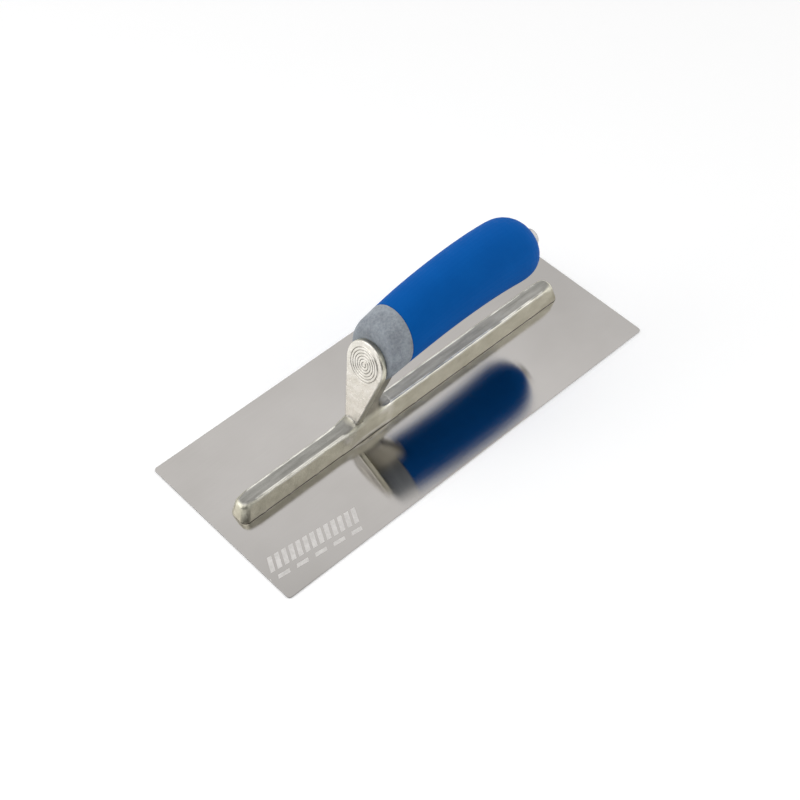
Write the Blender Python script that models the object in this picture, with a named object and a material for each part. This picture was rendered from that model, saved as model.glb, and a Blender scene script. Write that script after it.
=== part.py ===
"""Steel finishing trowel, built as separate pieces in one shared frame.

Metres, +Z up.  The origin is the centre of the blade's flat underside, +X runs
along the blade towards the heel (the free end of the handle) and +Y across it.
"""

import math

import bmesh
import bpy
from mathutils import Vector

# --- driving dimensions -------------------------------------------------------
GAP = 0.0003                 # air left between pieces that touch

BLADE_LENGTH = 0.280
BLADE_WIDTH = 0.120
BLADE_THICKNESS = 0.0007
BLADE_CORNER_RADIUS = 0.0022
BLADE_EDGE_BREAK = 0.0001    # tiny chamfer round both faces

BAR_TOE = -0.1274            # ends of the mounting bar at its base
BAR_HEEL = 0.1228
BAR_HALF_WIDTH = 0.0072
BAR_TOP = 0.0127             # height of the bar's flat top
BAR_SIDE_DRAFT = 0.0022      # how far the cast sides lean in on the way up
BAR_EDGE_RADIUS = 0.0012     # rounding between the sides and the top
BAR_CORNER_RADIUS = 0.0037   # rounded corners of the bar seen from above
BAR_END_RATIO = 1.2          # the ends lean in more than the sides

RIVET_COUNT = 10
RIVET_END_MARGIN = 0.0105    # from the bar's ends to the outer rivets
RIVET_HEAD_RADIUS = 0.0032
RIVET_RADIUS = 0.0017
RIVET_TOP = 0.0078

PAD_LEAN = math.radians(17.4)   # the thumb pad leans back towards the heel
PAD_FOOT_X = -0.0417            # where the pad's face meets PAD_FOOT_Z
PAD_FOOT_Z = 0.0150
PAD_BOTTOM = -0.0014            # the pad's lower edge, measured up its face
PAD_HALF_WIDTH_BOTTOM = 0.0052
PAD_CIRCLE_HEIGHT = 0.0405      # centre of the round top, measured up its face
PAD_RADIUS = 0.0146
PAD_THICKNESS = 0.0034
PAD_ROUNDING = 0.0011

HANDLE_FRONT = -0.0239
HANDLE_REAR = 0.0995
DOME_START = 0.0783          # the rounded rear end begins here
DOME_POWER = 2.4             # a little squarer than an ellipse
SPINE_CREST_X = 0.0517       # the handle arches, highest here
SPINE_CREST_Z = 0.0683
SPINE_FRONT_RADIUS = 0.316   # gentle arch forward of the crest
SPINE_REAR_RADIUS = 0.201    # and a tighter one behind it
NOSE_RADIUS = 0.0181         # half the handle's thickness at the front
TAIL_RADIUS = 0.0202         # and where the rounded end begins
WIDTH_RATIO = 0.985          # slightly taller than wide
HEIGHT_RATIO = 1.035
LEAN_END_X = 0.010           # cross-sections stand upright from here on
NOSE_EDGE_RADIUS = 0.0040    # the front is rounded over behind the thumb pad

GRIP_FRONT = -0.0088         # soft grip begins here on the spine
GRIP_WALL = 0.0025
GRIP_HOLE_RADIUS = 0.0072    # opening round the nut
CORE_END_MARGIN = 0.0008     # the core's rear end is this much wider than that
CORE_STEP_LENGTH = 0.0040    # the core narrows over this length inside the grip

AXIS_FRONT = Vector((-0.020, 0.0, 0.0565))   # straight line of tang and stud
AXIS_REAR = Vector((0.103, 0.0, 0.0628))
TANG_START = -0.004          # distances along the axis from AXIS_FRONT
TANG_TAPER_START = 0.045
TANG_LENGTH = 0.056
TANG_HALF_WIDTH = 0.0052
TANG_HALF_HEIGHT = 0.0060
TANG_FRONT_RATIO = 0.90      # height there against the full height
TANG_TIP_RATIO = 0.85        # size of the tip against the full size
TANG_SQUARENESS = 4.0
STUD_RADIUS = 0.0030
STUD_EDGE_BREAK = 0.0005
STUD_START = 0.034
STUD_END = 0.1246
SEAT = 0.1148                # the washer's seat in the core
BORE_START = 0.050           # the core's bore begins inside the tang's pocket
WASHER_RADIUS = 0.0058
WASHER_THICKNESS = 0.0016
WASHER_CLEARANCE = 0.0006
NUT_ACROSS_FLATS = 0.0100
NUT_HEIGHT = 0.0070
NUT_CHAMFER = 0.0006
NUT_CHAMFER_RATIO = 0.97     # chamfered faces end in a circle of this size

ROUND_STEPS = 40             # points round the handle
NECK_ROUND_STEPS = 28        # points round the neck
SMALL_ROUND_STEPS = 24       # points round rivets, stud, washer and bores
PAD_ARC_STEPS = 26           # steps round the thumb pad's round top
CORNER_STEPS = 6             # steps round each corner of blade and bar
ROUNDING_ANGLES = [math.radians(angle) for angle in (0, 30, 60, 90)]
GRIP_RINGS = (14, 9)         # rings along the grip's body and its rounded end
LINING_RINGS = (10, 6)       # the same for the grip's inside
CORE_RINGS = (9, 5)
SHARP_ANGLE = math.radians(32)

# (height, front x, rear x, half width) of the neck, from inside the bar up to a
# flared collar just under the handle, then of the plain stem inside the handle
NECK_STATIONS = (
    (0.0050, -0.0450, -0.0205, 0.0056),
    (0.0110, -0.0468, -0.0205, 0.0060),
    (0.0142, -0.0424, -0.0222, 0.0056),
    (0.0200, -0.0395, -0.0216, 0.0051),
    (0.0235, -0.0378, -0.0195, 0.0050),
    (0.0270, -0.0363, -0.0162, 0.0051),
    (0.0310, -0.0350, -0.0125, 0.0053),
    (0.0350, -0.0338, -0.0094, 0.0058),
    (0.0393, -0.0323, -0.0066, 0.0066),
    (0.0424, -0.0314, -0.0038, 0.0068),
)
STEM_STATIONS = (
    (0.0430, -0.0312, -0.0136, 0.0060),
    (0.0560, -0.0272, -0.0136, 0.0058),
)
NECK_SQUARENESS = 2.8
NECK_STEPS = 4               # rings between two stations


# --- general helpers ----------------------------------------------------------
def clear_scene():
    for thing in list(bpy.data.objects):
        bpy.data.objects.remove(thing, do_unlink=True)


def make_material(name, colour, roughness, metallic):
    material = bpy.data.materials.new(name)
    material.use_nodes = True
    shader = material.node_tree.nodes["Principled BSDF"]
    shader.inputs["Base Color"].default_value = (*colour, 1.0)
    shader.inputs["Roughness"].default_value = roughness
    shader.inputs["Metallic"].default_value = metallic
    material.diffuse_color = (*colour, 1.0)
    return material


def loft(name, rings, looped=False):
    """Skin a row of equal point rings; open rows get flat end caps."""
    count = len(rings[0])
    points = [point for ring in rings for point in ring]
    faces = []
    last = len(rings) if looped else len(rings) - 1
    for row in range(last):
        here = row * count
        there = ((row + 1) % len(rings)) * count
        for step in range(count):
            following = (step + 1) % count
            faces.append((here + step, here + following, there + following, there + step))
    if not looped:
        faces.append(tuple(range(count)))
        faces.append(tuple(range(len(points) - count, len(points))))
    mesh = bpy.data.meshes.new(name)
    mesh.from_pydata(points, [], faces)
    return finish_object(name, mesh)


def finish_object(name, mesh):
    body = bmesh.new()
    body.from_mesh(mesh)
    bmesh.ops.recalc_face_normals(body, faces=body.faces)
    for face in body.faces:
        face.smooth = True
    body.to_mesh(mesh)
    body.free()
    mesh.set_sharp_from_angle(angle=SHARP_ANGLE)
    thing = bpy.data.objects.new(name, mesh)
    bpy.context.collection.objects.link(thing)
    return thing


def combine(thing, other, operation):
    """Leave an exact Boolean on thing; other stays as a hidden helper."""
    modifier = thing.modifiers.new(other.name, "BOOLEAN")
    modifier.operation = operation
    modifier.solver = "EXACT"
    modifier.object = other
    other.hide_render = True
    other.display_type = "WIRE"


def ellipse(half_a, half_b, count, power=2.0):
    """Points of a (super)ellipse, starting on +a."""
    points = []
    for step in range(count):
        angle = math.tau * step / count
        cosine = math.cos(angle)
        sine = math.sin(angle)
        reach_a = math.copysign(abs(cosine) ** (2 / power), cosine)
        reach_b = math.copysign(abs(sine) ** (2 / power), sine)
        points.append((half_a * reach_a, half_b * reach_b))
    return points


def rounded_corners(centres_x, reach_y, radius, height):
    """A level rectangle with rounded corners, given the corners' centres."""
    sides_y = (reach_y, reach_y, -reach_y, -reach_y)
    points = []
    for corner, (centre_x, centre_y) in enumerate(zip(centres_x, sides_y)):
        for step in range(CORNER_STEPS + 1):
            angle = math.pi / 2 * (corner + step / CORNER_STEPS)
            points.append(Vector((
                centre_x + radius * math.cos(angle),
                centre_y + radius * math.sin(angle),
                height,
            )))
    return points


def smooth_rows(rows, steps):
    """Catmull-Rom values through the given rows."""
    padded = [rows[0], *rows, rows[-1]]
    result = []
    for index in range(len(rows) - 1):
        before, start, end, after = padded[index:index + 4]
        for step in range(steps):
            t = step / steps
            result.append([catmull_rom(*four, t) for four in zip(before, start, end, after)])
    result.append(list(rows[-1]))
    return result


def catmull_rom(before, start, end, after, t):
    slope_start = (end - before) / 2
    slope_end = (after - start) / 2
    rise = end - start
    return (
        start
        + slope_start * t
        + (3 * rise - 2 * slope_start - slope_end) * t ** 2
        + (slope_start + slope_end - 2 * rise) * t ** 3
    )


# --- blade --------------------------------------------------------------------
def blade_outline(inset, height):
    reach_x = BLADE_LENGTH / 2 - BLADE_CORNER_RADIUS
    reach_y = BLADE_WIDTH / 2 - BLADE_CORNER_RADIUS
    corners = (reach_x, -reach_x, -reach_x, reach_x)
    return rounded_corners(corners, reach_y, BLADE_CORNER_RADIUS - inset, height)


def build_blade(material):
    top = BLADE_THICKNESS
    blade = loft("blade", [
        blade_outline(BLADE_EDGE_BREAK, 0),
        blade_outline(0, BLADE_EDGE_BREAK),
        blade_outline(0, top - BLADE_EDGE_BREAK),
        blade_outline(BLADE_EDGE_BREAK, top),
    ])
    for number, x in enumerate(rivet_positions(), start=1):
        combine(blade, build_countersink(number, x), "DIFFERENCE")
    blade.data.materials.append(material)


# --- rivets -------------------------------------------------------------------
def rivet_positions():
    first = BAR_TOE + RIVET_END_MARGIN
    last = BAR_HEEL - RIVET_END_MARGIN
    pitch = (last - first) / (RIVET_COUNT - 1)
    return [first + pitch * number for number in range(RIVET_COUNT)]


def rivet_ring(x, radius, height):
    circle = ellipse(radius, radius, SMALL_ROUND_STEPS)
    return [Vector((x + along, across, height)) for along, across in circle]


def build_countersink(number, x):
    """The seat of a rivet's head, cut right through the blade."""
    return loft(f"countersink_{number:02d}", [
        rivet_ring(x, RIVET_HEAD_RADIUS + GAP, -BLADE_THICKNESS),
        rivet_ring(x, RIVET_HEAD_RADIUS + GAP, 0),
        rivet_ring(x, RIVET_RADIUS + GAP, BLADE_THICKNESS),
        rivet_ring(x, RIVET_RADIUS + GAP, 2 * BLADE_THICKNESS),
    ])


def build_rivets(material):
    for number, x in enumerate(rivet_positions(), start=1):
        rivet = loft(f"rivet_{number:02d}", [
            rivet_ring(x, RIVET_HEAD_RADIUS, 0),
            rivet_ring(x, RIVET_RADIUS, BLADE_THICKNESS),
            rivet_ring(x, RIVET_RADIUS, RIVET_TOP),
        ])
        rivet.data.materials.append(material)


# --- cast mounting: bar, neck, thumb pad and tang -----------------------------
def bar_outline(inset, height):
    """Straight sides and ends, with corners as round at the top as at the base."""
    reach_y = BAR_HALF_WIDTH - inset - BAR_CORNER_RADIUS
    toe = BAR_TOE + BAR_END_RATIO * inset + BAR_CORNER_RADIUS
    heel = BAR_HEEL - BAR_END_RATIO * inset - BAR_CORNER_RADIUS
    return rounded_corners((heel, toe, toe, heel), reach_y, BAR_CORNER_RADIUS, height)


def build_bar():
    bottom = BLADE_THICKNESS + GAP
    shoulder = BAR_TOP - BAR_EDGE_RADIUS
    rings = [bar_outline(0, bottom)]
    for angle in ROUNDING_ANGLES:
        inset = BAR_SIDE_DRAFT + BAR_EDGE_RADIUS * (1 - math.cos(angle))
        rings.append(bar_outline(inset, shoulder + BAR_EDGE_RADIUS * math.sin(angle)))
    return loft("mounting", rings)


def build_neck(name, grow):
    rings = []
    for height, front, rear, half_width in [*smooth_rows(NECK_STATIONS, NECK_STEPS), *STEM_STATIONS]:
        centre = (front + rear) / 2
        half_depth = (rear - front) / 2 + grow
        outline = ellipse(half_depth, half_width + grow, NECK_ROUND_STEPS, NECK_SQUARENESS)
        rings.append([Vector((centre + x, y, height)) for x, y in outline])
    return loft(name, rings)


def pad_point(across, up, depth):
    """World point from the pad's own directions; depth runs back from its face."""
    return Vector((
        PAD_FOOT_X + up * math.sin(PAD_LEAN) + depth * math.cos(PAD_LEAN),
        across,
        PAD_FOOT_Z + up * math.cos(PAD_LEAN) - depth * math.sin(PAD_LEAN),
    ))


def pad_outline(inset, depth):
    """A teardrop: round top, straight sides drawn tangent to it, cut off square."""
    rise = PAD_CIRCLE_HEIGHT - PAD_BOTTOM
    reach = math.hypot(PAD_HALF_WIDTH_BOTTOM, rise)
    taper = math.atan2(rise, PAD_HALF_WIDTH_BOTTOM) - math.acos(PAD_RADIUS / reach)
    radius = PAD_RADIUS - inset
    points = []
    for step in range(PAD_ARC_STEPS + 1):
        angle = -taper + (math.pi + 2 * taper) * step / PAD_ARC_STEPS
        points.append(pad_point(
            radius * math.cos(angle), PAD_CIRCLE_HEIGHT + radius * math.sin(angle), depth,
        ))
    corner = (radius - (rise - inset) * math.sin(taper)) / math.cos(taper)
    for side in (-1, 1):
        points.append(pad_point(side * corner, PAD_BOTTOM + inset, depth))
    return points


def build_pad():
    rings = []
    for angle in ROUNDING_ANGLES:
        inset = PAD_ROUNDING * (1 - math.sin(angle))
        rings.append(pad_outline(inset, PAD_ROUNDING * (1 - math.cos(angle))))
    rings.append(pad_outline(0, PAD_THICKNESS - PAD_ROUNDING / 2))
    rings.append(pad_outline(PAD_ROUNDING / 2, PAD_THICKNESS))
    return loft("thumb_pad", rings)


def axis_point(along, across, up):
    """World point from distances along, across and above the tang's axis."""
    direction = (AXIS_REAR - AXIS_FRONT).normalized()
    upward = Vector((-direction.z, 0, direction.x))
    return AXIS_FRONT + direction * along + Vector((0, across, 0)) + upward * up


def axis_ring(along, half_width, half_height, power=2.0):
    outline = ellipse(half_width, half_height, SMALL_ROUND_STEPS, power)
    return [axis_point(along, across, up) for across, up in outline]


def build_tang(name, grow):
    width = TANG_HALF_WIDTH + grow
    height = TANG_HALF_HEIGHT + grow
    tip = TANG_TIP_RATIO
    return loft(name, [
        axis_ring(TANG_START - grow, width, height * TANG_FRONT_RATIO, TANG_SQUARENESS),
        axis_ring(TANG_TAPER_START, width, height, TANG_SQUARENESS),
        axis_ring(TANG_LENGTH + grow, width * tip, height * tip, TANG_SQUARENESS),
    ])


def build_mounting(material):
    mounting = build_bar()
    combine(mounting, build_neck("neck", 0), "UNION")
    combine(mounting, build_pad(), "UNION")
    combine(mounting, build_tang("tang", 0), "UNION")
    for number, x in enumerate(rivet_positions(), start=1):
        hole = loft(f"rivet_hole_{number:02d}", [
            rivet_ring(x, RIVET_RADIUS + GAP, -BLADE_THICKNESS),
            rivet_ring(x, RIVET_RADIUS + GAP, RIVET_TOP + GAP),
        ])
        combine(mounting, hole, "DIFFERENCE")
    socket_radius = STUD_RADIUS + GAP
    socket = loft("stud_socket", [
        axis_ring(STUD_START - GAP, socket_radius, socket_radius),
        axis_ring(TANG_LENGTH + 2 * GAP, socket_radius, socket_radius),
    ])
    combine(mounting, socket, "DIFFERENCE")
    mounting.data.materials.append(material)


# --- handle: hard core and soft grip ------------------------------------------
def spine_height(x):
    radius = SPINE_FRONT_RADIUS if x < SPINE_CREST_X else SPINE_REAR_RADIUS
    return SPINE_CREST_Z - (x - SPINE_CREST_X) ** 2 / (2 * radius)


def section_lean(x):
    remaining = (LEAN_END_X - x) / (LEAN_END_X - HANDLE_FRONT)
    return PAD_LEAN * max(0.0, remaining)


def body_radius(x):
    share = (x - HANDLE_FRONT) / (DOME_START - HANDLE_FRONT)
    return NOSE_RADIUS + (TAIL_RADIUS - NOSE_RADIUS) * share


def handle_ring(x, radius):
    lean = section_lean(x)
    centre = Vector((x, 0, spine_height(x)))
    upward = Vector((math.sin(lean), 0, math.cos(lean)))
    outline = ellipse(radius * WIDTH_RATIO, radius * HEIGHT_RATIO, ROUND_STEPS)
    return [centre + Vector((0, across, 0)) + upward * up for across, up in outline]


def body_rings(start, inset, count):
    """Rings from start up to where the rounded end begins."""
    rings = []
    for step in range(count):
        x = start + (DOME_START - start) * step / count
        rings.append(handle_ring(x, body_radius(x) - inset))
    return rings


def dome_rings(inset, end_radius, count):
    """Rings of the rounded end, closing in to end_radius."""
    full = TAIL_RADIUS - inset
    depth = HANDLE_REAR - inset - DOME_START
    last_angle = math.acos((end_radius / full) ** (DOME_POWER / 2))
    rings = []
    for step in range(count + 1):
        angle = last_angle * step / count
        x = DOME_START + depth * math.sin(angle) ** (2 / DOME_POWER)
        rings.append(handle_ring(x, full * math.cos(angle) ** (2 / DOME_POWER)))
    return rings


def shell_rings(start, inset, end_radius, counts):
    body_count, dome_count = counts
    return body_rings(start, inset, body_count) + dome_rings(inset, end_radius, dome_count)


def build_grip(material):
    outside = shell_rings(GRIP_FRONT, 0, GRIP_HOLE_RADIUS, GRIP_RINGS)
    inside = shell_rings(GRIP_FRONT, GRIP_WALL, GRIP_HOLE_RADIUS, LINING_RINGS)
    grip = loft("soft_grip", outside + inside[::-1], looped=True)
    grip.data.materials.append(material)


def build_core(material):
    nose_end = GRIP_FRONT - GAP
    nose_middle = (HANDLE_FRONT + nose_end) / 2
    inset = GRIP_WALL + GAP
    rings = []
    for angle in ROUNDING_ANGLES:
        x = HANDLE_FRONT + NOSE_EDGE_RADIUS * (1 - math.cos(angle))
        rings.append(handle_ring(x, body_radius(x) - NOSE_EDGE_RADIUS * (1 - math.sin(angle))))
    rings.append(handle_ring(nose_middle, body_radius(nose_middle)))
    rings.append(handle_ring(nose_end, body_radius(nose_end)))
    rings.append(handle_ring(nose_end, body_radius(nose_end) - inset))
    end_radius = GRIP_HOLE_RADIUS + CORE_END_MARGIN
    rings += shell_rings(GRIP_FRONT + CORE_STEP_LENGTH, inset, end_radius, CORE_RINGS)
    core = loft("handle_core", rings)
    combine(core, build_neck("neck_slot", GAP), "DIFFERENCE")
    combine(core, build_tang("tang_pocket", GAP), "DIFFERENCE")
    bore_radius = STUD_RADIUS + GAP
    seat_radius = WASHER_RADIUS + WASHER_CLEARANCE
    bore = loft("stud_bore", [
        axis_ring(BORE_START, bore_radius, bore_radius),
        axis_ring(SEAT, bore_radius, bore_radius),
        axis_ring(SEAT, seat_radius, seat_radius),
        axis_ring(STUD_END, seat_radius, seat_radius),
    ])
    combine(core, bore, "DIFFERENCE")
    core.data.materials.append(material)


# --- tie stud, washer and nut -------------------------------------------------
def build_stud(material):
    end_radius = STUD_RADIUS - STUD_EDGE_BREAK
    stud = loft("tie_stud", [
        axis_ring(STUD_START, end_radius, end_radius),
        axis_ring(STUD_START + STUD_EDGE_BREAK, STUD_RADIUS, STUD_RADIUS),
        axis_ring(STUD_END - STUD_EDGE_BREAK, STUD_RADIUS, STUD_RADIUS),
        axis_ring(STUD_END, end_radius, end_radius),
    ])
    stud.data.materials.append(material)


def build_washer(material):
    hole = STUD_RADIUS + GAP
    front = SEAT + GAP
    back = front + WASHER_THICKNESS
    washer = loft("washer", [
        axis_ring(front, hole, hole),
        axis_ring(front, WASHER_RADIUS, WASHER_RADIUS),
        axis_ring(back, WASHER_RADIUS, WASHER_RADIUS),
        axis_ring(back, hole, hole),
    ], looped=True)
    washer.data.materials.append(material)


def hexagon_ring(along):
    flat = NUT_ACROSS_FLATS / 2
    points = []
    for step in range(SMALL_ROUND_STEPS):
        angle = math.tau * step / SMALL_ROUND_STEPS
        within = (angle + math.pi / 6) % (math.pi / 3) - math.pi / 6
        radius = flat / math.cos(within)
        points.append(axis_point(along, radius * math.cos(angle), radius * math.sin(angle)))
    return points


def build_nut(material):
    hole = STUD_RADIUS + GAP
    front = SEAT + WASHER_THICKNESS + 2 * GAP
    back = front + NUT_HEIGHT
    end_radius = NUT_CHAMFER_RATIO * NUT_ACROSS_FLATS / 2
    nut = loft("nut", [
        axis_ring(front, hole, hole),
        axis_ring(front, end_radius, end_radius),
        hexagon_ring(front + NUT_CHAMFER),
        hexagon_ring(back - NUT_CHAMFER),
        axis_ring(back, end_radius, end_radius),
        axis_ring(back, hole, hole),
    ], looped=True)
    nut.data.materials.append(material)


def main():
    clear_scene()
    stainless = make_material("stainless_blade", (0.58, 0.56, 0.54), 0.22, 1.0)
    cast_metal = make_material("cast_mounting", (0.52, 0.50, 0.43), 0.42, 1.0)
    rivet_steel = make_material("rivet_steel", (0.55, 0.55, 0.55), 0.35, 1.0)
    grey_plastic = make_material("grey_plastic", (0.26, 0.29, 0.32), 0.50, 0.0)
    blue_rubber = make_material("blue_rubber", (0.004, 0.078, 0.31), 0.55, 0.0)
    zinc = make_material("zinc_fixings", (0.62, 0.62, 0.62), 0.28, 1.0)
    build_blade(stainless)
    build_rivets(rivet_steel)
    build_mounting(cast_metal)
    build_core(grey_plastic)
    build_grip(blue_rubber)
    build_stud(zinc)
    build_washer(zinc)
    build_nut(zinc)


main()
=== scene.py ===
"""Looks of the steel finishing trowel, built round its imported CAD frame.

Metres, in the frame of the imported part: the origin is the centre of the blade's
underside, +X runs towards the free end of the handle and +Z is up.
"""

import math

import bmesh
import bpy
import numpy as np
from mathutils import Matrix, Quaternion, Vector


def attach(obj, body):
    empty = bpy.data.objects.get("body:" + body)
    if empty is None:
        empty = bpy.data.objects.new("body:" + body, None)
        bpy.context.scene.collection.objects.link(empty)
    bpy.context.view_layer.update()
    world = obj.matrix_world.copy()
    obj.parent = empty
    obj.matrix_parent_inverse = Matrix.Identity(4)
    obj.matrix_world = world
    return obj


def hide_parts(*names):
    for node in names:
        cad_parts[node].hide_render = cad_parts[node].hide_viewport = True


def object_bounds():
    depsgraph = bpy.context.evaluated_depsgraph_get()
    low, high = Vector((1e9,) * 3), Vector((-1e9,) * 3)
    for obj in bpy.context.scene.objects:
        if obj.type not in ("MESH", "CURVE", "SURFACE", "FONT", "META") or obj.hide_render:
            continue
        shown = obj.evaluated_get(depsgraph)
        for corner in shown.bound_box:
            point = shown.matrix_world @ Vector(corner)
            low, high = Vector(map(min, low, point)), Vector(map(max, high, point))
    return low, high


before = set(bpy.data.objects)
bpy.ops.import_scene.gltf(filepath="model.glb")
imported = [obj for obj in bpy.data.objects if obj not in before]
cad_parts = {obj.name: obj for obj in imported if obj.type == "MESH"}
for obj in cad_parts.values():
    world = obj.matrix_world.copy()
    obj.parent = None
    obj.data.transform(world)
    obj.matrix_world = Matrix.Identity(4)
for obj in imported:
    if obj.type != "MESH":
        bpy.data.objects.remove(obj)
cad_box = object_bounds()

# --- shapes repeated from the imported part, so that finer pieces fit it ---------
BAR_TOE = -0.1274
BAR_HEEL = 0.1228
BAR_BOTTOM = 0.0010
BAR_TOP = 0.0127
BAR_HALF_WIDTH = 0.0072
BAR_SIDE_DRAFT = 0.0022
BAR_EDGE_RADIUS = 0.0011
BAR_CORNER_RADIUS = 0.0046
BAR_END_RATIO = 1.2
BAR_END_ROUNDING = 0.0022    # how much rounder the top edge gets at the bar's ends
BAR_END_REACH = 0.0070

RIVET_COUNT = 10
RIVET_END_MARGIN = 0.0105
RIVET_HOLE_RADIUS = 0.0020
RIVET_HOLE_TOP = 0.0081

# (height, front x, rear x, half width) of the neck and of its stem in the handle
NECK_STATIONS = (
    (0.0050, -0.0450, -0.0205, 0.0052),
    (0.0110, -0.0468, -0.0205, 0.0056),
    (0.0142, -0.0424, -0.0222, 0.0056),
    (0.0200, -0.0395, -0.0216, 0.0051),
    (0.0235, -0.0378, -0.0195, 0.0050),
    (0.0270, -0.0363, -0.0162, 0.0051),
    (0.0310, -0.0350, -0.0125, 0.0053),
    (0.0350, -0.0338, -0.0094, 0.0058),
    (0.0393, -0.0323, -0.0066, 0.0066),
    (0.0424, -0.0314, -0.0038, 0.0068),
)
# the same four values for the straight stem, which the neck's smooth rows stop short of
STEM_STATIONS = (
    (0.0430, -0.0312, -0.0136, 0.0060),
    (0.0560, -0.0272, -0.0136, 0.0058),
)
NECK_ROW_STEPS = 8           # smooth rows made between two stations
NECK_SQUARENESS = 2.8
NECK_FILLET = 0.0058

PAD_LEAN = math.radians(17.4)
PAD_FOOT_X = -0.0417
PAD_FOOT_Z = 0.0150
PAD_BOTTOM = -0.0014
PAD_HALF_WIDTH_BOTTOM = 0.0052
PAD_FOOT_ROUNDING = 0.0032
PAD_CIRCLE_HEIGHT = 0.0405
PAD_RADIUS = 0.0146
PAD_THICKNESS = 0.0034
PAD_ROUNDING = 0.0011
PAD_FILLET = 0.0004

KNURL_RADIUS = 0.0112
KNURL_CENTRE_RADIUS = 0.0002
KNURL_RISE = 0.00030         # how far the disc stands proud of the pad
KNURL_SUNK = 0.00060         # how far its edge is sunk into the pad
KNURL_SKIRT = 0.00012        # width of that sunk edge
KNURL_DEPTH = 0.00024        # depth of the grooves
KNURL_LINE = 0.00020         # width of the slope at each side of a groove
KNURL_FLAT = 1.6             # larger values give a groove a broader flat bottom
KNURL_FIRST_RING = 0.0016
KNURL_PITCH = 0.0018
KNURL_RING_COUNT = 6
KNURL_GROOVE_SHADE = 0.5
KNURL_STEPS = 110
KNURL_SEGMENTS = 432

AXIS_FRONT = Vector((-0.020, 0.0, 0.0565))
AXIS_REAR = Vector((0.103, 0.0, 0.0628))
TANG_START = -0.004
TANG_LENGTH = 0.056
TANG_HALF_WIDTH = 0.0052
TANG_HALF_HEIGHT = 0.0060
TANG_SLIMNESS = 0.9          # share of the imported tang's size, to stay clear of the handle
TANG_SQUARENESS = 4.0
SOCKET_START = 0.0337
SOCKET_RADIUS = 0.0033

CAST_GRID = 0.00042          # spacing of the lattice the casting is sampled on
CAST_WAVES = 0.00006         # height of the waves left by the mould
CAVITY_REACH = 0.0010        # how far out from the skin creases are looked for
HIGHLIGHT_REACH = 0.0021          # how far in from the skin thin edges are looked for
SLOPE_REACH = 0.00005        # half the distance over which a field's slope is measured
SETTLE_ROUNDS = 5
LEAST_SLOPE = 0.1            # keeps a flat spot in the field from dividing by nothing
PAD_FRONT_MARGIN = 0.0005
POLISH_FACING = 0.5          # polish starts where the skin faces the thumb this squarely
POLISH_GAIN = 2.5
HIGHLIGHT_MARGIN = 0.0003         # the painted highlight on the edges ends this far above the bar's top
NECK_SHADE_MARGIN = 0.001       # painted shade on the neck starts this far above the bar's top
NECK_SHADE_FADE = 0.004
NECK_SHADE_PAD_FADE = 0.002     # and fades out this close to the thumb pad
CAST_LOW = (-0.1284, -0.0152, 0.0004)
CAST_HIGH = (0.1238, 0.0152, 0.0692)

# --- viewpoint ----------------------------------------------------------------
VIEW_AZIMUTH = math.radians(-41.24)
VIEW_ELEVATION = math.radians(50.50)
VIEW_ROLL = math.radians(-1.87)
VIEW_DISTANCE = 0.9657
VIEW_TARGET = Vector((-0.0031, 0.0009, 0.0))
LENS_MM = 73.82

# --- light --------------------------------------------------------------------
SKY_STRENGTH = 1.35
# (sine of height, light)
SKY_STOPS = ((0.0, 0.30), (0.45, 0.80), (0.72, 0.83), (0.78, 1.06), (0.95, 0.30))
DARK_SIDE = Vector((-0.66, -0.75, 0.0))     # the unlit side of the studio
DARK_SIDE_START = 0.0
DARK_SIDE_FULL = 0.75
DARK_SIDE_LIGHT = 0.06
# (direction, power in watts) of the soft boxes
SOFT_BOXES = (
    (Vector((-0.78, 0.50, 0.42)), 2.6),
    (Vector((0.48, -0.72, 0.50)), 1.45),
    (Vector((-0.45, -0.10, 0.89)), 2.8),
)
BOX_DISTANCE = 1.2
BOX_SIZE = 0.75
FLOOR_GLOW = 0.16
FLOOR_RADIUS = 4.0
FLOOR_SEGMENTS = 96
FLOOR_DROP = 0.0002          # keeps the floor from touching the blade's underside

# --- finishes -------------------------------------------------------------------
NOISE_LOW = 0.3              # noise rarely goes below this
NOISE_HIGH = 0.7             # or above this
BRUSHED_ANISOTROPY = 0.62
HANDLE_EASING = 0.0007
FIXING_EASING = 0.00025
EASING_SEGMENTS = 3
EASING_ANGLE = math.radians(35.0)

# each finish that varies runs between a pair of colours
BLADE_COLOURS = ((0.366, 0.351, 0.335), (0.396, 0.381, 0.366))
FROSTED_COLOUR = (0.72, 0.70, 0.68, 1.0)
CAST_COLOURS = ((0.64, 0.615, 0.495), (0.80, 0.775, 0.65))
CAST_SHADED_TOP_COLOURS = ((0.25, 0.245, 0.225), (0.38, 0.37, 0.345))
CAST_POLISHED_COLOURS = ((0.76, 0.73, 0.66), (0.88, 0.85, 0.79))
CAST_NECK_SHADE_COLOUR = (0.33, 0.31, 0.26)
CAST_HIGHLIGHT_COLOUR = (0.92, 0.90, 0.83)
CAST_CREASE_SHADE_COLOUR = (0.085, 0.075, 0.06)
RIVET_COLOUR = (0.55, 0.55, 0.55)
PLASTIC_LIGHT_COLOURS = ((0.25, 0.28, 0.315), (0.395, 0.43, 0.47))
PLASTIC_DARK_COLOURS = ((0.185, 0.208, 0.236), (0.325, 0.352, 0.39))
RUBBER_COLOURS = ((0.0005, 0.094, 0.385), (0.001, 0.104, 0.415))
ZINC_COLOUR = (0.52, 0.51, 0.50)
FLOOR_COLOUR = (0.93, 0.93, 0.93)

# etched mark near the blade's toe, instead of lettering: slanted blocks over a row of dashes
MARK_CENTRE = (-0.1069, -0.0396)
MARK_TURN = math.radians(-7.4)
# (middle along, middle across, half length, half width, pitch of its strokes) of each band
MARK_BANDS = (
    (0.0014, 0.0, 0.0290, 0.0048, 0.0046),
    (0.0007, -0.0092, 0.0300, 0.0012, 0.0120),
)
MARK_SLANT = 0.35
MARK_FILL = 0.62             # share of the pitch that a stroke takes up


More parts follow.
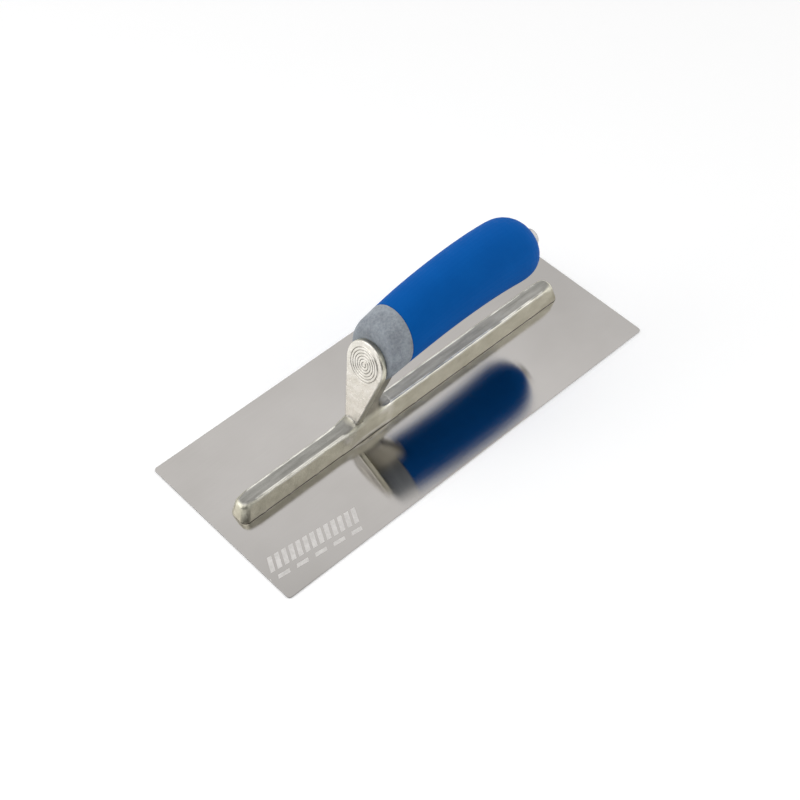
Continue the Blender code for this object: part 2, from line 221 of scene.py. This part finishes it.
# --- node helpers -------------------------------------------------------------
def add_node(tree, kind, inputs=None, **settings):
    """A node with its settings made and each input either linked or given a value."""
    node = tree.nodes.new(kind)
    for name, value in settings.items():
        setattr(node, name, value)
    for name, value in (inputs or {}).items():
        if isinstance(value, bpy.types.NodeSocket):
            tree.links.new(value, node.inputs[name])
        else:
            node.inputs[name].default_value = value
    return node


def new_material(name, colour, roughness, metallic, **sockets):
    """A plain material to build on, with its node tree and its shader."""
    material = bpy.data.materials.new(name)
    material.use_nodes = True
    tree = material.node_tree
    shader = tree.nodes["Principled BSDF"]
    shader.inputs["Base Color"].default_value = (*colour, 1.0)
    shader.inputs["Roughness"].default_value = roughness
    shader.inputs["Metallic"].default_value = metallic
    for socket, value in sockets.items():
        shader.inputs[socket.replace("_", " ")].default_value = value
    return material, tree, shader


def frame_place(tree, stretch=(1.0, 1.0, 1.0)):
    """Position in the part's frame, squeezed or stretched per axis."""
    coordinates = add_node(tree, "ShaderNodeTexCoord")
    mapping = add_node(tree, "ShaderNodeMapping", {
        "Vector": coordinates.outputs["Object"],
        "Scale": stretch,
    })
    return mapping.outputs["Vector"]


def noise(tree, size, stretch=(1.0, 1.0, 1.0), detail=3.0, roughness=0.5):
    """Cloudy noise from 0 to 1 whose lumps are about size metres across."""
    node = add_node(tree, "ShaderNodeTexNoise", {
        "Vector": frame_place(tree, stretch),
        "Scale": 1.0 / size,
        "Detail": detail,
        "Roughness": roughness,
    })
    return node.outputs["Fac"]


def remap(tree, value, from_low, from_high, to_low, to_high):
    """The value carried over from one range to another and held inside it."""
    node = add_node(tree, "ShaderNodeMapRange", {
        "Value": value,
        "From Min": from_low,
        "From Max": from_high,
        "To Min": to_low,
        "To Max": to_high,
    })
    return node.outputs["Result"]


def spread(tree, noisy, low, high):
    """Noise stretched over the whole range from low to high."""
    return remap(tree, noisy, NOISE_LOW, NOISE_HIGH, low, high)


def arithmetic(tree, operation, first, second=0.0):
    node = add_node(tree, "ShaderNodeMath", {0: first, 1: second}, operation=operation)
    return node.outputs[0]


def blend_colours(tree, factor, first, second):
    """The first colour where the factor is 0, the second where it is 1."""
    node = add_node(tree, "ShaderNodeMix", {0: factor}, data_type="RGBA")
    for index, colour in ((6, first), (7, second)):
        if isinstance(colour, bpy.types.NodeSocket):
            tree.links.new(colour, node.inputs[index])
        else:
            node.inputs[index].default_value = (*colour, 1.0)
    return node.outputs[2]


def bumps(tree, height, distance, underneath=None):
    """Surface relief of the given depth, laid over other relief if there is any."""
    inputs = {"Height": height, "Distance": distance, "Strength": 1.0}
    if underneath is not None:
        inputs["Normal"] = underneath
    return add_node(tree, "ShaderNodeBump", inputs).outputs["Normal"]


# --- materials ----------------------------------------------------------------
def within(tree, value, middle, half):
    """1 where the value is no further than half from the middle, else 0."""
    offset = arithmetic(tree, "ABSOLUTE", arithmetic(tree, "SUBTRACT", value, middle))
    return arithmetic(tree, "LESS_THAN", offset, half)


def etched_mark(tree):
    """1 on the strokes of the mark etched into the blade, else 0."""
    coordinates = add_node(tree, "ShaderNodeTexCoord").outputs["Object"]
    place = add_node(tree, "ShaderNodeMapping", {
        "Vector": coordinates,
        "Location": (*MARK_CENTRE, 0.0),
        "Rotation": (0.0, 0.0, MARK_TURN),
    }, vector_type="TEXTURE")
    axes = add_node(tree, "ShaderNodeSeparateXYZ", {0: place.outputs["Vector"]})
    along = axes.outputs["X"]
    across = axes.outputs["Y"]
    lean = arithmetic(tree, "SUBTRACT", along, arithmetic(tree, "MULTIPLY", across, MARK_SLANT))
    total = None
    for middle_along, middle_across, half_length, half_width, pitch in MARK_BANDS:
        stroke = arithmetic(tree, "FRACT", arithmetic(tree, "DIVIDE", lean, pitch))
        stroke = arithmetic(tree, "LESS_THAN", stroke, MARK_FILL)
        length = within(tree, lean, middle_along, half_length)
        width = within(tree, across, middle_across, half_width)
        band = arithmetic(tree, "MULTIPLY", stroke, arithmetic(tree, "MULTIPLY", length, width))
        total = band if total is None else arithmetic(tree, "ADD", total, band)
    return total


def blade_steel():
    """Sheet brushed along X: reflections blur across the blade and stay crisp along it."""
    material = bpy.data.materials.new("stainless_blade")
    material.use_nodes = True
    tree = material.node_tree
    tree.nodes.remove(tree.nodes["Principled BSDF"])
    streaks = noise(tree, 0.0004, (0.02, 1.0, 1.0))
    tone = spread(tree, noise(tree, 0.05), 0.0, 1.0)
    brushed = add_node(tree, "ShaderNodeBsdfAnisotropic", {
        "Color": blend_colours(tree, tone, *BLADE_COLOURS),
        "Roughness": spread(tree, streaks, 0.10, 0.125),
        "Anisotropy": BRUSHED_ANISOTROPY,
        "Tangent": add_node(tree, "ShaderNodeCombineXYZ", {"X": 1.0}).outputs[0],
    }, distribution="BECKMANN")
    frosted = add_node(tree, "ShaderNodeBsdfAnisotropic", {
        "Color": FROSTED_COLOUR,
        "Roughness": spread(tree, noise(tree, 0.0009), 0.38, 0.52),
    })
    fade = spread(tree, noise(tree, 0.004), 0.5, 0.9)
    mixed = add_node(tree, "ShaderNodeMixShader", {
        0: arithmetic(tree, "MULTIPLY", etched_mark(tree), fade),
        1: brushed.outputs[0],
        2: frosted.outputs[0],
    })
    tree.links.new(mixed.outputs[0], tree.nodes["Material Output"].inputs["Surface"])
    return material


def attribute(tree, name):
    """A value that was stored on the mesh's points."""
    return add_node(tree, "ShaderNodeAttribute", attribute_name=name).outputs["Fac"]


def cast_metal():
    """Greenish grey casting, polished on the thumb pad, with painted shade on level faces,
    on the neck under the handle and in the creases, and a painted highlight along the bar's edges.
    """
    material, tree, shader = new_material("cast_mounting", CAST_COLOURS[0], 0.4, 1.0)
    geometry = add_node(tree, "ShaderNodeNewGeometry")
    up = add_node(tree, "ShaderNodeSeparateXYZ", {0: geometry.outputs["Normal"]}).outputs["Z"]
    # painted shade: faces that look up are painted darker than the sides, streaked along X
    level = remap(tree, up, 0.75, 0.95, 0.0, 1.0)
    skin = spread(tree, noise(tree, 0.007, (0.6, 1.0, 1.0), detail=4.0), 0.0, 1.0)
    drag = spread(tree, noise(tree, 0.0022, (0.12, 1.0, 1.0), detail=4.0), 0.0, 1.0)
    clean = blend_colours(tree, skin, *CAST_COLOURS)
    shaded_top = blend_colours(tree, drag, *CAST_SHADED_TOP_COLOURS)
    colour = blend_colours(tree, level, clean, shaded_top)
    # painted shade: the neck above the bar, under the handle, is painted darker except near the
    # thumb pad
    neck_shade = arithmetic(tree, "MULTIPLY", attribute(tree, "neck_shade"), 0.85)
    colour = blend_colours(tree, neck_shade, colour, CAST_NECK_SHADE_COLOUR)
    polish = attribute(tree, "polish")
    stain = spread(tree, noise(tree, 0.004, detail=5.0), 0.0, 1.0)
    bright = blend_colours(tree, stain, *CAST_POLISHED_COLOURS)
    colour = blend_colours(tree, polish, colour, bright)
    # painted highlight: thin edges of the bar are painted bright, broken up by noise
    highlight_breaks = noise(tree, 0.0035, (0.3, 1.0, 1.0), detail=4.0)
    edge_highlight = remap(tree, attribute(tree, "edge_highlight"), 0.05, 0.16, 0.0, 1.0)
    edge_highlight = arithmetic(tree, "MULTIPLY", edge_highlight, remap(tree, highlight_breaks, 0.38, 0.56, 0.1, 0.9))
    colour = blend_colours(tree, edge_highlight, colour, CAST_HIGHLIGHT_COLOUR)
    # painted shade: creases and the pad's grooves are painted dark
    crease_shade = remap(tree, attribute(tree, "cavity"), 0.15, 0.6, 0.0, 0.9)
    colour = blend_colours(tree, crease_shade, colour, CAST_CREASE_SHADE_COLOUR)
    tree.links.new(colour, shader.inputs["Base Color"])
    grain = noise(tree, 0.0012, detail=5.0, roughness=0.6)
    rough = spread(tree, grain, 0.32, 0.48)
    smoother = arithmetic(tree, "MULTIPLY", polish, 0.08)
    tree.links.new(arithmetic(tree, "SUBTRACT", rough, smoother), shader.inputs["Roughness"])
    dents = bumps(tree, noise(tree, 0.0032, (0.5, 1.0, 1.0)), 0.0003)
    tree.links.new(bumps(tree, grain, 0.00012, dents), shader.inputs["Normal"])
    return material


def rivet_metal():
    """Steel ground flush, with fine scratches along the blade."""
    material, tree, shader = new_material("rivet_steel", RIVET_COLOUR, 0.35, 1.0)
    grain = noise(tree, 0.0008, (0.2, 1.0, 1.0))
    tree.links.new(spread(tree, grain, 0.28, 0.45), shader.inputs["Roughness"])
    tree.links.new(bumps(tree, grain, 0.00005), shader.inputs["Normal"])
    return material


def hard_plastic():
    """Speckled grey plastic with a grained skin and broad lighter and darker patches."""
    material, tree, shader = new_material(
        "grey_plastic", PLASTIC_LIGHT_COLOURS[0], 0.5, 0.0, Specular_IOR_Level=0.3)
    speckle = noise(tree, 0.0016, detail=6.0, roughness=0.72)
    blotch = remap(tree, noise(tree, 0.007, detail=2.0), 0.35, 0.65, 0.0, 1.0)
    tone = remap(tree, speckle, 0.32, 0.68, 0.0, 1.0)
    light = blend_colours(tree, tone, *PLASTIC_LIGHT_COLOURS)
    dark = blend_colours(tree, tone, *PLASTIC_DARK_COLOURS)
    tree.links.new(blend_colours(tree, blotch, dark, light), shader.inputs["Base Color"])
    tree.links.new(spread(tree, speckle, 0.42, 0.58), shader.inputs["Roughness"])
    tree.links.new(bumps(tree, speckle, 0.0004), shader.inputs["Normal"])
    return material


def soft_rubber():
    """Matt blue rubber, slightly cloudy, with a fine skin."""
    material, tree, shader = new_material(
        "blue_rubber", RUBBER_COLOURS[0], 0.6, 0.0, Specular_IOR_Level=0.05)
    clouds = spread(tree, noise(tree, 0.02), 0.0, 1.0)
    tree.links.new(blend_colours(tree, clouds, *RUBBER_COLOURS), shader.inputs["Base Color"])
    skin = noise(tree, 0.0006, detail=4.0)
    tree.links.new(spread(tree, skin, 0.55, 0.68), shader.inputs["Roughness"])
    tree.links.new(bumps(tree, skin, 0.00008), shader.inputs["Normal"])
    return material


def zinc_plate():
    """Bright plating with a faint grain."""
    material, tree, shader = new_material("zinc_fixings", ZINC_COLOUR, 0.2, 1.0)
    grain = noise(tree, 0.0008, detail=4.0)
    tree.links.new(spread(tree, grain, 0.12, 0.3), shader.inputs["Roughness"])
    tree.links.new(bumps(tree, grain, 0.00004), shader.inputs["Normal"])
    return material


def floor_material():
    """Pale matt floor that glows a little, so that it stays near white."""
    material, _, shader = new_material("studio_floor", FLOOR_COLOUR, 0.8, 0.0)
    shader.inputs["Emission Color"].default_value = (1.0, 1.0, 1.0, 1.0)
    shader.inputs["Emission Strength"].default_value = FLOOR_GLOW
    return material


# --- meshes -------------------------------------------------------------------
def add_piece(name, points, faces, material, slot, *replaced):
    """A smooth-shaded mesh that rides on the part's body."""
    mesh = bpy.data.meshes.new(name)
    mesh.from_pydata(points, [], faces)
    mesh.shade_smooth()
    mesh.materials.append(material)
    piece = bpy.data.objects.new(name, mesh)
    bpy.context.scene.collection.objects.link(piece)
    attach(piece, "root")
    if replaced:
        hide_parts(*replaced)
    return piece


def surface_net(distance, low, high, step):
    """Quads round the zero level of a distance field sampled on a lattice."""
    axes = [np.arange(start, end, step) for start, end in zip(low, high)]
    inside = distance(*np.meshgrid(*axes, indexing="ij", sparse=True)) < 0
    corners = sum(
        inside[i:len(axes[0]) - 1 + i, j:len(axes[1]) - 1 + j, k:len(axes[2]) - 1 + k].astype(int)
        for i in (0, 1) for j in (0, 1) for k in (0, 1)
    )
    crossed = (corners > 0) & (corners < 8)
    number = np.full(crossed.shape, -1)
    number[crossed] = np.arange(crossed.sum())
    points = np.array(low) + (np.argwhere(crossed) + 0.5) * step
    quads = []
    for axis in range(3):
        near = np.moveaxis(inside, axis, 0)
        cells = np.moveaxis(number, axis, 0)
        edges = np.argwhere(near[:-1, 1:-1, 1:-1] != near[1:, 1:-1, 1:-1])
        along, second, third = edges.T
        ring = np.stack([
            cells[along, second, third],
            cells[along, second + 1, third],
            cells[along, second + 1, third + 1],
            cells[along, second, third + 1],
        ], axis=1)
        outward = near[along, second + 1, third + 1]
        if axis == 1:
            outward = ~outward
        ring[~outward] = ring[~outward][:, ::-1]
        quads.append(ring)
    return settle(distance, points, step), np.concatenate(quads)


def gradient(distance, points):
    """Direction in which a distance field grows, by central differences."""
    slopes = []
    for axis in range(3):
        offset = np.zeros(3)
        offset[axis] = SLOPE_REACH
        ahead = distance(*(points + offset).T)
        behind = distance(*(points - offset).T)
        slopes.append((ahead - behind) / (2 * SLOPE_REACH))
    return np.stack(slopes, axis=1)


def settle(distance, points, step):
    """Move lattice points onto the surface, none further than one cell."""
    start = points.copy()
    for _ in range(SETTLE_ROUNDS):
        slope = gradient(distance, points)
        value = distance(*points.T) / np.maximum((slope ** 2).sum(axis=1), LEAST_SLOPE)
        points = points - slope * value[:, None]
        points = np.clip(points, start - step, start + step)
    return points


def fill_attribute(mesh, name, values):
    """Store one value per point, for the mesh's material to read."""
    attribute = mesh.attributes.new(name, "FLOAT", "POINT")
    attribute.data.foreach_set("value", np.asarray(values, np.float32))


# --- cast mounting: one smooth skin round bar, neck, thumb pad and tang --------
def smooth_union(first, second, radius):
    """Union of two distance fields with a fillet of about radius."""
    overlap = np.maximum(radius - np.abs(first - second), 0.0) / radius
    return np.minimum(first, second) - overlap ** 2 * radius / 4


def eased_cut(first, second, radius):
    """Intersection of two distance fields whose outer edge is rounded off."""
    first = first + radius
    second = second + radius
    outside = np.hypot(np.maximum(first, 0.0), np.maximum(second, 0.0))
    return outside + np.minimum(np.maximum(first, second), 0.0) - radius


def superellipse(along, across, half_length, half_width, power):
    """Roughly the distance from a squared-off ellipse."""
    size = (np.abs(along / half_length) ** power + np.abs(across / half_width) ** power)
    return (size ** (1 / power) - 1.0) * np.minimum(half_length, half_width)


def bar_distance(x, y, z):
    """Long bar with drafted sides, round ends and an eased top edge."""
    rise = np.clip((z - BAR_BOTTOM) / (BAR_TOP - BAR_BOTTOM), 0.0, 1.0)
    inset = BAR_SIDE_DRAFT * rise
    middle = (BAR_TOE + BAR_HEEL) / 2
    half_length = (BAR_HEEL - BAR_TOE) / 2 - BAR_END_RATIO * inset - BAR_CORNER_RADIUS
    along = np.abs(x - middle) - half_length
    across = np.abs(y) - (BAR_HALF_WIDTH - inset - BAR_CORNER_RADIUS)
    plan = np.hypot(np.maximum(along, 0.0), np.maximum(across, 0.0))
    plan = plan + np.minimum(np.maximum(along, across), 0.0) - BAR_CORNER_RADIUS
    towards_end = np.clip((along + BAR_END_REACH) / BAR_END_REACH, 0.0, 1.0)
    rounding = BAR_EDGE_RADIUS + BAR_END_ROUNDING * towards_end ** 2
    return eased_cut(plan, z - BAR_TOP, rounding)


def smooth_rows(rows, steps):
    """Catmull-Rom rows through the given rows."""
    padded = np.array([rows[0], *rows, rows[-1]])
    result = []
    for before, start, end, after in zip(padded, padded[1:], padded[2:], padded[3:]):
        for t in np.arange(steps) / steps:
            slope_start = (end - before) / 2
            slope_end = (after - start) / 2
            rise = end - start
            result.append(
                start + slope_start * t
                + (3 * rise - 2 * slope_start - slope_end) * t ** 2
                + (slope_start + slope_end - 2 * rise) * t ** 3
            )
    result.append(padded[-1])
    return np.array(result)


NECK_ROWS = np.concatenate([smooth_rows(NECK_STATIONS, NECK_ROW_STEPS), np.array(STEM_STATIONS)])


def neck_distance(x, y, z):
    """Web that rises from the bar to the handle, and the stem inside the handle."""
    heights = NECK_ROWS[:, 0]
    front, rear, half_width = (np.interp(z, heights, NECK_ROWS[:, column]) for column in (1, 2, 3))
    outline = superellipse(
        x - (front + rear) / 2, y, (rear - front) / 2, half_width, NECK_SQUARENESS)
    return np.maximum(outline, np.maximum(heights[0] - z, z - heights[-1]))


def pad_place(x, z):
    """Distances up the thumb pad's face and back from it."""
    up = (x - PAD_FOOT_X) * math.sin(PAD_LEAN) + (z - PAD_FOOT_Z) * math.cos(PAD_LEAN)
    depth = (x - PAD_FOOT_X) * math.cos(PAD_LEAN) - (z - PAD_FOOT_Z) * math.sin(PAD_LEAN)
    return up, depth


def pad_distance(x, y, z):
    """Teardrop plate: round top, straight sides drawn tangent to it, square foot."""
    up, depth = pad_place(x, z)
    rise = PAD_CIRCLE_HEIGHT - PAD_BOTTOM
    reach = math.hypot(PAD_HALF_WIDTH_BOTTOM, rise)
    taper = math.atan2(rise, PAD_HALF_WIDTH_BOTTOM) - math.acos(PAD_RADIUS / reach)
    above = up - PAD_CIRCLE_HEIGHT
    across = np.abs(y)
    circle = np.hypot(across, above) - PAD_RADIUS
    side = across * math.cos(taper) - above * math.sin(taper) - PAD_RADIUS
    on_circle = above * math.cos(taper) + across * math.sin(taper) > 0
    outline = eased_cut(np.where(on_circle, circle, side), PAD_BOTTOM - up, PAD_FOOT_ROUNDING)
    return np.maximum(eased_cut(outline, -depth, PAD_ROUNDING), depth - PAD_THICKNESS)


def axis_place(x, z):
    """Distances along and above the line of tang and stud."""
    direction = (AXIS_REAR - AXIS_FRONT).normalized()
    along = (x - AXIS_FRONT.x) * direction.x + (z - AXIS_FRONT.z) * direction.z
    above = (z - AXIS_FRONT.z) * direction.x - (x - AXIS_FRONT.x) * direction.z
    return along, above


def tang_distance(x, y, z):
    """Squared-off spike inside the handle, which holds the stud."""
    along, above = axis_place(x, z)
    half_height = TANG_HALF_HEIGHT * TANG_SLIMNESS
    half_width = TANG_HALF_WIDTH * TANG_SLIMNESS
    body = superellipse(above, y, half_height, half_width, TANG_SQUARENESS)
    return np.maximum(body, np.maximum(TANG_START - along, along - TANG_LENGTH))


def hollow_distance(x, y, z):
    """Stud socket and rivet holes."""
    along, above = axis_place(x, z)
    socket = np.maximum(np.hypot(above, y) - SOCKET_RADIUS, SOCKET_START - along)
    first = BAR_TOE + RIVET_END_MARGIN
    pitch = (BAR_HEEL - BAR_TOE - 2 * RIVET_END_MARGIN) / (RIVET_COUNT - 1)
    nearest = first + pitch * np.clip(np.round((x - first) / pitch), 0, RIVET_COUNT - 1)
    holes = np.maximum(np.hypot(x - nearest, y) - RIVET_HOLE_RADIUS, z - RIVET_HOLE_TOP)
    return np.minimum(socket, holes)


def unevenness(x, y, z):
    """Slight waves left by the mould, of wavelengths that never fall into step."""
    broad = np.sin(x / 0.0031 + 2.0 * np.sin(z / 0.0042)) * np.sin(z / 0.0027 + y / 0.004)
    fine = np.sin(x / 0.0013 + 1.7 * np.sin(x / 0.0071)) * np.sin(z / 0.0017 - y / 0.0023)
    return CAST_WAVES * (broad + 0.5 * fine)


def outer_distance(x, y, z):
    """The casting without its holes, tang and mould waves."""
    solid = smooth_union(bar_distance(x, y, z), neck_distance(x, y, z), NECK_FILLET)
    return smooth_union(solid, pad_distance(x, y, z), PAD_FILLET)


def casting_distance(x, y, z):
    """The whole casting, cut flat where it rests on the blade."""
    solid = np.minimum(outer_distance(x, y, z), tang_distance(x, y, z))
    solid = np.maximum(solid, -hollow_distance(x, y, z))
    return np.maximum(solid + unevenness(x, y, z), BAR_BOTTOM - z)


def build_casting(material):
    """The casting's skin, with where it is creased and polished, where shade is painted on the neck
    and where a highlight is painted on the bar's edges.
    """
    points, quads = surface_net(casting_distance, CAST_LOW, CAST_HIGH, CAST_GRID)
    piece = add_piece("cast_mounting", points, quads.tolist(), material, "cast_mounting", "mounting")
    outward = gradient(casting_distance, points)
    outward /= np.maximum(np.linalg.norm(outward, axis=1), LEAST_SLOPE)[:, None]
    opening = casting_distance(*(points + outward * CAVITY_REACH).T) / CAVITY_REACH
    backing = -outer_distance(*(points - outward * HIGHLIGHT_REACH).T) / HIGHLIGHT_REACH
    up, depth = pad_place(points[:, 0], points[:, 2])
    facing = -outward[:, 0] * math.cos(PAD_LEAN) + outward[:, 2] * math.sin(PAD_LEAN)
    on_pad = (depth > -PAD_FRONT_MARGIN) & (depth < PAD_ROUNDING) & (up > PAD_BOTTOM)
    polish = np.clip((facing - POLISH_FACING) * POLISH_GAIN, 0.0, 1.0) * on_pad
    # painted highlight along the bar's thin edges, kept below the bar's top
    on_bar = points[:, 2] < BAR_TOP + HIGHLIGHT_MARGIN
    # painted shade on the neck, above the bar's top and away from the thumb pad
    above_bar = np.clip((points[:, 2] - BAR_TOP - NECK_SHADE_MARGIN) / NECK_SHADE_FADE, 0.0, 1.0)
    off_pad = np.clip(pad_distance(*points.T) / NECK_SHADE_PAD_FADE, 0.0, 1.0)
    fill_attribute(piece.data, "cavity", np.clip(1.0 - opening, 0.0, 1.0))
    fill_attribute(piece.data, "edge_highlight", np.clip(1.0 - backing, 0.0, 1.0) * on_bar)
    fill_attribute(piece.data, "polish", polish)
    fill_attribute(piece.data, "neck_shade", above_bar * off_pad)


# --- thumb pad pattern: a disc of plain grooves --------------------------------
def pad_points(across, up, depth):
    """Points given by their place on the thumb pad."""
    x = PAD_FOOT_X + up * math.sin(PAD_LEAN) + depth * math.cos(PAD_LEAN)
    z = PAD_FOOT_Z + up * math.cos(PAD_LEAN) - depth * math.sin(PAD_LEAN)
    return np.stack([x, across, z], axis=-1)


def knurl_cut(radius):
    """How deep the pattern is cut, from 0 to 1: plain concentric grooves."""
    cut = np.zeros(radius.shape)
    for number in range(KNURL_RING_COUNT):
        ring = KNURL_FIRST_RING + number * KNURL_PITCH
        groove = np.clip(KNURL_FLAT - np.abs(radius - ring) / KNURL_LINE, 0.0, 1.0)
        cut = np.maximum(cut, groove)
    return cut


def build_knurl(material):
    """Closed disc let into the thumb pad, grooved on its face."""
    rings = np.linspace(KNURL_CENTRE_RADIUS, KNURL_RADIUS, KNURL_STEPS)
    angles = np.arange(KNURL_SEGMENTS) * 2 * math.pi / KNURL_SEGMENTS
    radius, angle = np.meshgrid(rings, angles, indexing="ij")
    cut = knurl_cut(radius)
    skirt = radius > KNURL_RADIUS - KNURL_SKIRT
    depth = np.where(skirt, KNURL_SUNK, KNURL_DEPTH * cut - KNURL_RISE)
    points = pad_points(
        radius * np.cos(angle), PAD_CIRCLE_HEIGHT + radius * np.sin(angle), depth)
    count = KNURL_SEGMENTS
    faces = [
        (ring * count + k, (ring + 1) * count + k,
         (ring + 1) * count + (k + 1) % count, ring * count + (k + 1) % count)
        for ring in range(KNURL_STEPS - 1) for k in range(count)
    ]
    faces.append(tuple(range(count)))
    faces.append(tuple(range((KNURL_STEPS - 1) * count, KNURL_STEPS * count))[::-1])
    piece = add_piece("pad_knurl", points.reshape(-1, 3), faces, material, "cast_mounting")
    # painted shade in the grooves of the disc
    fill_attribute(piece.data, "cavity", cut.ravel() * KNURL_GROOVE_SHADE)
    fill_attribute(piece.data, "polish", np.ones(cut.size))


# --- stage, light and camera --------------------------------------------------
def make_floor():
    """Wide round floor just below the blade."""
    mesh = bpy.data.meshes.new("studio_floor")
    body = bmesh.new()
    bmesh.ops.create_circle(body, cap_ends=True, radius=FLOOR_RADIUS, segments=FLOOR_SEGMENTS)
    body.to_mesh(mesh)
    body.free()
    floor = bpy.data.objects.new("studio_floor", mesh)
    bpy.context.scene.collection.objects.link(floor)
    floor.location.z = cad_box[0].z - FLOOR_DROP
    mesh.materials.append(floor_material())


def make_sky():
    """Soft studio surround, dim overhead and on the side that holds no light."""
    world = bpy.data.worlds.new("studio")
    world.use_nodes = True
    tree = world.node_tree
    direction = add_node(tree, "ShaderNodeTexCoord").outputs["Generated"]
    height = add_node(tree, "ShaderNodeSeparateXYZ", {0: direction}).outputs["Z"]
    ramp = add_node(tree, "ShaderNodeValToRGB", {0: height})
    ramp.color_ramp.interpolation = "EASE"
    while len(ramp.color_ramp.elements) < len(SKY_STOPS):
        ramp.color_ramp.elements.new(1.0)
    for element, (place, brightness) in zip(ramp.color_ramp.elements, SKY_STOPS):
        element.position = place
        element.color = (brightness, brightness, brightness, 1.0)
    towards = add_node(
        tree, "ShaderNodeVectorMath", {0: direction, 1: DARK_SIDE}, operation="DOT_PRODUCT")
    shade = remap(tree, towards.outputs["Value"], DARK_SIDE_START, DARK_SIDE_FULL,
                  1.0, DARK_SIDE_LIGHT)
    light = arithmetic(tree, "MULTIPLY", ramp.outputs["Color"], shade)
    background = tree.nodes["Background"]
    tree.links.new(light, background.inputs["Color"])
    background.inputs["Strength"].default_value = SKY_STRENGTH
    bpy.context.scene.world = world


def make_soft_box(name, direction, power):
    """Square light that faces the part from the given direction."""
    light = bpy.data.lights.new(name, "AREA")
    light.shape = "SQUARE"
    light.size = BOX_SIZE
    light.energy = power
    box = bpy.data.objects.new(name, light)
    box.location = direction.normalized() * BOX_DISTANCE
    box.rotation_mode = "QUATERNION"
    box.rotation_quaternion = (-box.location).to_track_quat("-Z", "Y")
    bpy.context.scene.collection.objects.link(box)


def make_camera():
    """Camera that looks down at the blade's toe and near long edge."""
    back = Vector((
        math.sin(VIEW_AZIMUTH) * math.cos(VIEW_ELEVATION),
        -math.cos(VIEW_AZIMUTH) * math.cos(VIEW_ELEVATION),
        math.sin(VIEW_ELEVATION),
    ))
    data = bpy.data.cameras.new("camera")
    data.lens = LENS_MM
    camera = bpy.data.objects.new("camera", data)
    camera.location = VIEW_TARGET + back * VIEW_DISTANCE
    camera.rotation_mode = "QUATERNION"
    roll = Quaternion((0.0, 0.0, 1.0), VIEW_ROLL)
    camera.rotation_quaternion = (-back).to_track_quat("-Z", "Y") @ roll
    bpy.context.scene.collection.objects.link(camera)
    bpy.context.scene.camera = camera
    bpy.context.scene.view_settings.view_transform = "Standard"


def ease_edges(width, *nodes):
    """Round off the sharp edges of carried-over nodes."""
    for node in nodes:
        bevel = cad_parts[node].modifiers.new("eased_edges", "BEVEL")
        bevel.width = width
        bevel.segments = EASING_SEGMENTS
        bevel.limit_method = "ANGLE"
        bevel.angle_limit = EASING_ANGLE


def dress(material, *nodes):
    """Give carried-over nodes their finish."""
    for node in nodes:
        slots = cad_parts[node].data.materials
        slots.clear()
        slots.append(material)


make_floor()
make_sky()
for number, (direction, power) in enumerate(SOFT_BOXES, 1):
    make_soft_box(f"soft_box_{number}", direction, power)
make_camera()
dress(blade_steel(), "blade")
casting_look = cast_metal()
build_casting(casting_look)
build_knurl(casting_look)
dress(rivet_metal(), *[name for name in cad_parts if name.startswith("rivet_")])
dress(hard_plastic(), "handle_core")
dress(soft_rubber(), "soft_grip")
dress(zinc_plate(), "tie_stud", "washer", "nut")
ease_edges(HANDLE_EASING, "soft_grip", "handle_core")
ease_edges(FIXING_EASING, "tie_stud", "washer", "nut")
